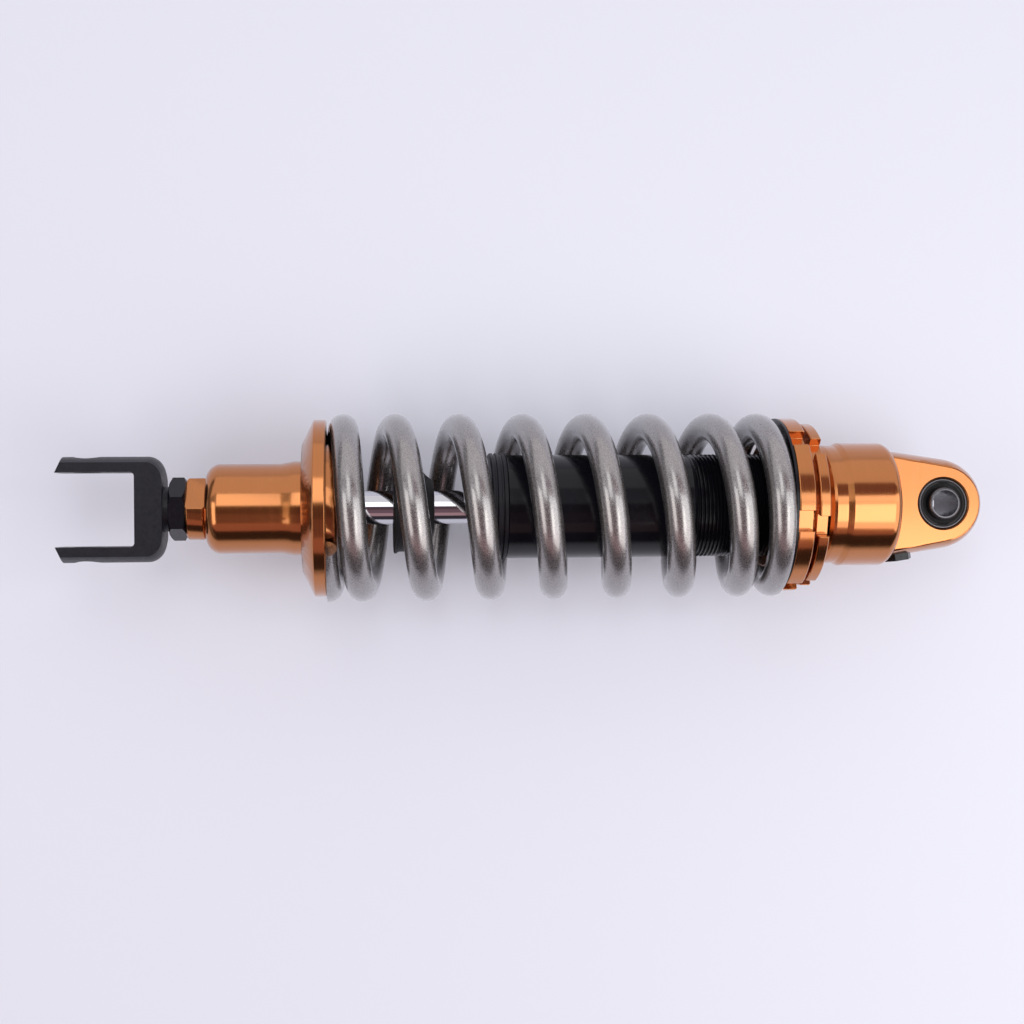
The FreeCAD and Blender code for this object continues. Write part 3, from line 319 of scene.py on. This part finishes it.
def turn_profile(points, steps=128):
    """A closed outline of (x, radius) points in metres, spun round X."""
    work = bmesh.new()
    corners = [work.verts.new((x, r, 0)) for x, r in points]
    edges = [work.edges.new(pair) for pair in zip(corners, corners[1:] + corners[:1])]
    bmesh.ops.spin(
        work,
        geom=corners + edges,
        cent=(0, 0, 0),
        axis=X_AXIS,
        angle=FULL_TURN,
        steps=steps,
        use_merge=True,
    )
    bmesh.ops.remove_doubles(work, verts=work.verts, dist=SAME_PLACE)
    bmesh.ops.recalc_face_normals(work, faces=work.faces)
    return work


def break_edges(piece, width, segments=2):
    """Rounds the sharp edges a little, as a machinist's file does."""
    bevel = piece.modifiers.new("broken_edges", "BEVEL")
    bevel.width = width
    bevel.segments = segments
    bevel.limit_method = "ANGLE"
    bevel.angle_limit = math.radians(32)
    bevel.use_clamp_overlap = True
    bevel.harden_normals = True


def machined(node, edge, finish=None, corners=()):
    """The CAD node's own shape, joined up, smooth, and with its edges broken by that much."""
    work = bmesh.new()
    work.from_mesh(frame["nodes"][node].data)
    bmesh.ops.remove_doubles(work, verts=work.verts, dist=2 * SAME_PLACE)
    nearly_flat = math.radians(0.4)
    bmesh.ops.dissolve_limit(work, angle_limit=nearly_flat, verts=work.verts, edges=work.edges)
    mesh = finished(f"{node}_machined", work)
    mesh.materials.append(finish or FINISHES[SLOT_OF[node]])
    smooth(mesh, corners=corners)
    piece = new_piece(f"{node}_machined", mesh, node)
    if edge:
        break_edges(piece, edge)
    return piece


# Coil spring

WIRE = 11.0 * MM
OVER_COILS = 36.0 * MM
SPRING_TURNS = 8.42
LOWER_CLOSED = 0.87
LOWER_RAMP = 0.35
UPPER_CLOSED = 0.7
UPPER_RAMP = 1.0
CLOSED_PITCH = WIRE + 0.4 * MM
TIP_THICKNESS = 4.1 * MM
SPRING_PHASE = math.radians(120)
POINTS_PER_TURN = 72


def spring_points(left, length, radius):
    """The wire's centreline: closed at both ends, with a ramp up to the full pitch."""
    first = TIP_THICKNESS - WIRE / 2
    rise = length - 2 * first
    slow = LOWER_CLOSED + UPPER_CLOSED + (LOWER_RAMP + UPPER_RAMP) / 2
    pitch = (rise - slow * CLOSED_PITCH) / (SPRING_TURNS - slow)

    def climbed(turn, closed, ramp):
        part = min(max(turn - closed, 0.0), ramp)
        sloped = part * CLOSED_PITCH + (pitch - CLOSED_PITCH) * part * part / (2 * ramp)
        return min(turn, closed) * CLOSED_PITCH + sloped + max(turn - closed - ramp, 0.0) * pitch

    count = math.ceil(SPRING_TURNS * POINTS_PER_TURN)
    for number in range(count + 1):
        turn = SPRING_TURNS * number / count
        near = climbed(turn, LOWER_CLOSED, LOWER_RAMP)
        if turn > SPRING_TURNS / 2:
            near = rise - climbed(SPRING_TURNS - turn, UPPER_CLOSED, UPPER_RAMP)
        angle = SPRING_PHASE + FULL_TURN * turn
        yield Vector((left + first + near, radius * math.cos(angle), radius * math.sin(angle)))


def coil_spring():
    """Painted spring, its end coils ground flat to bare steel."""
    low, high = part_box("coil_spring")
    radius = OVER_COILS - WIRE / 2
    curve = bpy.data.curves.new("spring_wire", "CURVE")
    curve.dimensions = "3D"
    curve.bevel_depth = WIRE / 2
    curve.bevel_resolution = 8
    curve.use_fill_caps = True
    points = list(spring_points(low.x, high.x - low.x, radius))
    spline = curve.splines.new("POLY")
    spline.points.add(len(points) - 1)
    for point, place in zip(spline.points, points):
        point.co = (*place, 1)
    holder = bpy.data.objects.new("spring_wire", curve)
    bpy.context.scene.collection.objects.link(holder)
    bpy.context.view_layer.update()
    depsgraph = bpy.context.evaluated_depsgraph_get()
    wire = bpy.data.meshes.new_from_object(holder.evaluated_get(depsgraph))
    bpy.data.objects.remove(holder)

    work = bmesh.new()
    work.from_mesh(wire)
    bmesh.ops.remove_doubles(work, verts=work.verts, dist=SAME_PLACE)
    for station, outwards in ((low.x, -X_AXIS), (high.x, X_AXIS)):
        bmesh.ops.bisect_plane(
            work,
            geom=work.verts[:] + work.edges[:] + work.faces[:],
            plane_co=(station, 0, 0),
            plane_no=outwards,
            clear_outer=True,
        )
        rim = [edge for edge in work.edges if edge.is_boundary]
        bmesh.ops.holes_fill(work, edges=rim, sides=0)
    bmesh.ops.recalc_face_normals(work, faces=work.faces)
    cap_corners = 12
    for face in work.faces:
        middle = face.calc_center_median().x
        ground = min(middle - low.x, high.x - middle) < 0.01 * MM
        cut_off = len(face.verts) > cap_corners
        face.material_index = 1 if ground or cut_off else 0
    mesh = finished("coil_spring_painted", work)
    mesh.materials.append(FINISHES["spring_paint"])
    mesh.materials.append(bare_steel("ground_spring_end", (0.85, 0.85, 0.86), 0.42, metallic=0.15))
    smooth(mesh, 40)
    piece = new_piece("coil_spring_painted", mesh, "coil_spring")
    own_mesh(piece)


# Damper tube

THREAD_PITCH = 1.5 * MM
THREAD_DEPTH = 0.92 * MM
THREAD_START = -101.1 * MM
THREAD_STEPS = 72


def damper_tube():
    """Enamelled tube, turned down to the thread's root where it is threaded."""
    low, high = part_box("damper_tube")
    outer = high.y
    bore = 17.0 * MM
    root = outer - THREAD_DEPTH
    edge = 0.4 * MM
    outline = [
        (low.x, bore),
        (low.x, outer - edge),
        (low.x + edge, outer),
        (THREAD_START, outer),
        (THREAD_START + THREAD_DEPTH, root),
        (high.x, root),
        (high.x, bore),
    ]
    mesh = finished("damper_tube_enamelled", turn_profile(outline, 160))
    smooth(mesh, 25)
    new_piece("damper_tube_enamelled", mesh, "damper_tube")

    work = bmesh.new()
    half = THREAD_PITCH / 2
    crest = THREAD_PITCH / 10
    start = THREAD_START + THREAD_PITCH * 0.6
    section = [
        (start - half * 0.96, root - 0.05 * MM),
        (start - crest, outer),
        (start + crest, outer),
        (start + half * 0.96, root - 0.05 * MM),
    ]
    corners = [work.verts.new((x, r, 0)) for x, r in section]
    edges = [work.edges.new(pair) for pair in zip(corners, corners[1:] + corners[:1])]
    turns = int((high.x - start - half) / THREAD_PITCH)
    made = bmesh.ops.spin(
        work,
        geom=corners + edges,
        cent=(0, 0, 0),
        axis=X_AXIS,
        dvec=(THREAD_PITCH / THREAD_STEPS, 0, 0),
        angle=FULL_TURN * turns,
        steps=THREAD_STEPS * turns,
    )
    work.faces.new(corners)
    work.faces.new([v for v in made["geom_last"] if isinstance(v, bmesh.types.BMVert)])
    bmesh.ops.recalc_face_normals(work, faces=work.faces)
    run_out = THREAD_PITCH
    for vert in work.verts:
        radius = math.hypot(vert.co.y, vert.co.z)
        share = min(1.0, max(0.0, vert.co.x - start + half) / run_out)
        if radius > root and share < 1:
            lowered = root + (radius - root) * share
            vert.co.y *= lowered / radius
            vert.co.z *= lowered / radius
    mesh = finished("tube_thread", work)
    smooth(mesh, 35)
    thread = bpy.data.objects.new("tube_thread", mesh)
    bpy.context.scene.collection.objects.link(thread)
    mesh.materials.append(FINISHES["black_gloss"])
    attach(thread, "damper")


# Bump stop


def bump_stop():
    """Moulded stop with a thin lip at its flat end and a rounded nose."""
    low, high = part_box("bump_stop")
    bore = 6.6 * MM
    lip = high.y
    barrel = 17.0 * MM
    nose = 10.0 * MM
    outline = [
        (low.x, bore + 0.5 * MM),
        (low.x, lip - 0.4 * MM),
        (low.x + 0.4 * MM, lip),
        (low.x + 1.0 * MM, lip),
        (low.x + 1.5 * MM, lip - 0.5 * MM),
        (low.x + 2.0 * MM, barrel),
        (low.x + 7.0 * MM, barrel),
        (low.x + 8.8 * MM, barrel - 0.7 * MM),
        (low.x + 10.8 * MM, barrel - 2.6 * MM),
        (low.x + 12.6 * MM, nose + 2.4 * MM),
        (low.x + 13.9 * MM, nose + 1.3 * MM),
        (high.x - 0.4 * MM, nose + 0.5 * MM),
        (high.x, nose - 0.3 * MM),
        (high.x, bore + 0.5 * MM),
        (high.x - 0.5 * MM, bore),
        (low.x + 0.5 * MM, bore),
    ]
    mesh = finished("bump_stop_moulded", turn_profile(outline, 96))
    smooth(mesh, 40)
    new_piece("bump_stop_moulded", mesh, "bump_stop")


# The studio

FLOOR_COLOUR = (0.61, 0.63, 0.695)
FLOOR_GLOW = (0.17, 0.172, 0.195, 1.0)
VIEW_TARGET = Vector((-169.1 * MM, -2.05 * MM, 0))
VIEW_FROM = Vector((-0.0995, 0, 0.99504))
VIEW_DISTANCE = 0.5821
VIEW_ROLL = math.radians(0.45)
FOCAL_PIXELS = 1500
IMAGE_PIXELS = 1024


def camera():
    """Looks almost straight down, leaning a little towards the eye end."""
    data = bpy.data.cameras.new("camera")
    data.sensor_width = 36
    data.lens = data.sensor_width * FOCAL_PIXELS / IMAGE_PIXELS
    shooting = bpy.data.objects.new("camera", data)
    bpy.context.scene.collection.objects.link(shooting)
    up = Vector((0, 1, 0))
    right = up.cross(VIEW_FROM)
    turned_right = right * math.cos(VIEW_ROLL) - up * math.sin(VIEW_ROLL)
    turned_up = right * math.sin(VIEW_ROLL) + up * math.cos(VIEW_ROLL)
    pose = Matrix((turned_right, turned_up, VIEW_FROM)).transposed().to_4x4()
    pose.translation = VIEW_TARGET + VIEW_FROM * VIEW_DISTANCE
    shooting.matrix_world = pose
    data.clip_start = 0.05
    bpy.context.scene.camera = shooting


def stage_plane(name, corners, material):
    """A flat four-cornered sheet that belongs to the studio."""
    work = bmesh.new()
    work.faces.new([work.verts.new(corner) for corner in corners])
    sheet = bpy.data.objects.new(name, finished(name, work))
    sheet.data.materials.append(material)
    bpy.context.scene.collection.objects.link(sheet)
    return sheet


def reflected_card(name, colour, corners):
    """An evenly glowing sheet that the camera doesn't see, for the metal to mirror."""
    material = bpy.data.materials.new(name)
    material.use_nodes = True
    nodes = material.node_tree.nodes
    nodes.remove(nodes["Principled BSDF"])
    glow = nodes.new("ShaderNodeEmission")
    glow.inputs["Color"].default_value = (*colour, 1)
    surface = nodes["Material Output"].inputs["Surface"]
    material.node_tree.links.new(glow.outputs["Emission"], surface)
    stage_plane(name, corners, material).visible_camera = False


def soft_box(name, centre, across, along, radiance, colour):
    """A rectangular light of an even radiance. across and along are its half sides."""
    data = bpy.data.lights.new(name, "AREA")
    data.shape = "RECTANGLE"
    data.size = across.length * 2
    data.size_y = along.length * 2
    data.color = colour
    data.energy = radiance * math.pi * data.size * data.size_y
    lamp = bpy.data.objects.new(name, data)
    bpy.context.scene.collection.objects.link(lamp)
    first = across.normalized()
    second = along.normalized()
    back = first.cross(second)
    if back.dot(Vector(centre)) < 0:
        first = -first
        back = -back
    pose = Matrix((first, second, back)).transposed().to_4x4()
    pose.translation = centre
    lamp.matrix_world = pose


def studio():
    """Pale floor and world, soft boxes above and at both ends, and the room to be mirrored."""
    paper = Finish("floor_paper", FLOOR_COLOUR, 0.9)
    paper.set(Specular_IOR_Level=0.1, Emission_Color=FLOOR_GLOW)
    rays = paper.node("ShaderNodeLightPath")
    seen_directly = paper.node("ShaderNodeMath", operation="ADD")
    seen = paper.node("ShaderNodeMath", operation="ADD", use_clamp=True)
    paper.join(rays.outputs["Is Camera Ray"], seen_directly.inputs[0])
    paper.join(rays.outputs["Is Glossy Ray"], seen_directly.inputs[1])
    paper.join(seen_directly.outputs["Value"], seen.inputs[0])
    paper.join(rays.outputs["Is Transmission Ray"], seen.inputs[1])
    paper.join(seen.outputs["Value"], paper.shader.inputs["Emission Strength"])
    floor_level = cad_low.z - 0.3 * MM
    reach = 6.0
    stage_plane(
        "floor",
        [
            (-reach, -reach, floor_level),
            (reach, -reach, floor_level),
            (reach, reach, floor_level),
            (-reach, reach, floor_level),
        ],
        paper.material,
    )

    world = bpy.data.worlds.new("pale_room")
    world.use_nodes = True
    background = world.node_tree.nodes["Background"]
    background.inputs["Color"].default_value = (0.83, 0.82, 0.90, 1)
    background.inputs["Strength"].default_value = 0.56
    bpy.context.scene.world = world

    reflected_card(
        "dark_beam",
        (0.12, 0.07, 0.08),
        [(-3.0, 0.10, 1.15), (3.0, 0.10, 1.15), (3.0, -0.28, 1.15), (-3.0, -0.28, 1.15)],
    )
    reflected_card(
        "brown_ceiling",
        (0.21, 0.12, 0.14),
        [(-3.0, -0.28, 1.15), (3.0, -0.28, 1.15), (3.0, -0.85, 1.1), (-3.0, -0.85, 1.1)],
    )
    reflected_card(
        "warm_ceiling",
        (0.49, 0.29, 0.31),
        [(-3.0, -0.85, 1.1), (3.0, -0.85, 1.1), (3.0, -1.7, 1.0), (-3.0, -1.7, 1.0)],
    )
    reflected_card(
        "dark_wall",
        (0.05, 0.04, 0.05),
        [(-3.0, -1.7, 1.0), (3.0, -1.7, 1.0), (3.0, -2.0, 0.1), (-3.0, -2.0, 0.1)],
    )
    reflected_card(
        "dim_gap",
        (0.26, 0.15, 0.18),
        [(0.14, 0.30, 1.1), (1.4, 0.30, 1.1), (1.4, 0.88, 1.1), (0.14, 0.88, 1.1)],
    )
    reflected_card(
        "far_end",
        (0.20, 0.20, 0.22),
        [(-1.3, -1.8, 0.5), (-1.3, 1.8, 0.5), (-1.0, 1.8, -0.036), (-1.0, -1.8, -0.036)],
    )
    reflected_card(
        "pale_wall",
        (1.0, 0.96, 1.0),
        [(-3.0, 0.84, 1.0), (3.0, 0.84, 1.0), (3.0, 2.4, -0.03), (-3.0, 2.4, -0.03)],
    )

    soft_box(
        "overhead_panel",
        Vector((-0.34, 0.465, 1.0)),
        Vector((0.22, 0, 0)),
        Vector((0, 0.335, 0)),
        1.9,
        (1.0, 0.99, 0.98),
    )
    soft_box(
        "eye_end_box",
        Vector((0.525, -0.27, 0.5735)),
        Vector((0.405, 0, -0.2765)),
        Vector((0, 0.485, 0)),
        2.0,
        (0.98, 0.99, 1.0),
    )
    soft_box(
        "eye_end_lamp",
        Vector((0.25, -0.25, 0.74)),
        Vector((0.10, 0, -0.068)),
        Vector((0, 0.24, 0)),
        2.0,
        (1.0, 1.0, 0.98),
    )
    soft_box(
        "clevis_end_box",
        Vector((-0.80, -0.20, 0.67)),
        Vector((0.15, 0, 0.14)),
        Vector((0, 0.42, 0)),
        2.3,
        (1.0, 0.99, 0.98),
    )


# Putting it together

for node_name, cad_object in frame["nodes"].items():
    cad_object.data.materials.clear()
    cad_object.data.materials.append(FINISHES[SLOT_OF[node_name]])

TURNED_EDGE = 0.25 * MM
BLACK_EDGE = 0.3 * MM
FINE_EDGE = 0.15 * MM
CAP_STEPS = [x * MM for x in (-47.5, -46.5, -42.3, -40.1)]
SEAT_STEPS = [x * MM for x in (-257.6, -252.8, -249.6, -245.4)]

coil_spring()
damper_tube()
bump_stop()
cap = machined("top_cap", TURNED_EDGE, corners=CAP_STEPS)
lug_stays_flat = cap.modifiers.new("lug_stays_flat", "WEIGHTED_NORMAL")
lug_stays_flat.keep_sharp = True
machined("lower_spring_seat", TURNED_EDGE, corners=SEAT_STEPS)
machined("adjuster_ring", TURNED_EDGE)
machined("lock_ring", TURNED_EDGE)
for node_name in ("clevis", "jam_nut", "gas_plug"):
    machined(node_name, BLACK_EDGE)
for node_name in ("end_cap", "spring_thrust_washer"):
    machined(node_name, FINE_EDGE)
for node_name in ("eye_sleeve", "bearing_outer_ring"):
    machined(node_name, FINE_EDGE, DARK_STEEL)
for node_name in ("piston_rod", "dust_wiper", "bearing_seal_front", "bearing_seal_back"):
    machined(node_name, 0)

camera()
studio()
bpy.context.scene.view_settings.view_transform = "Standard"
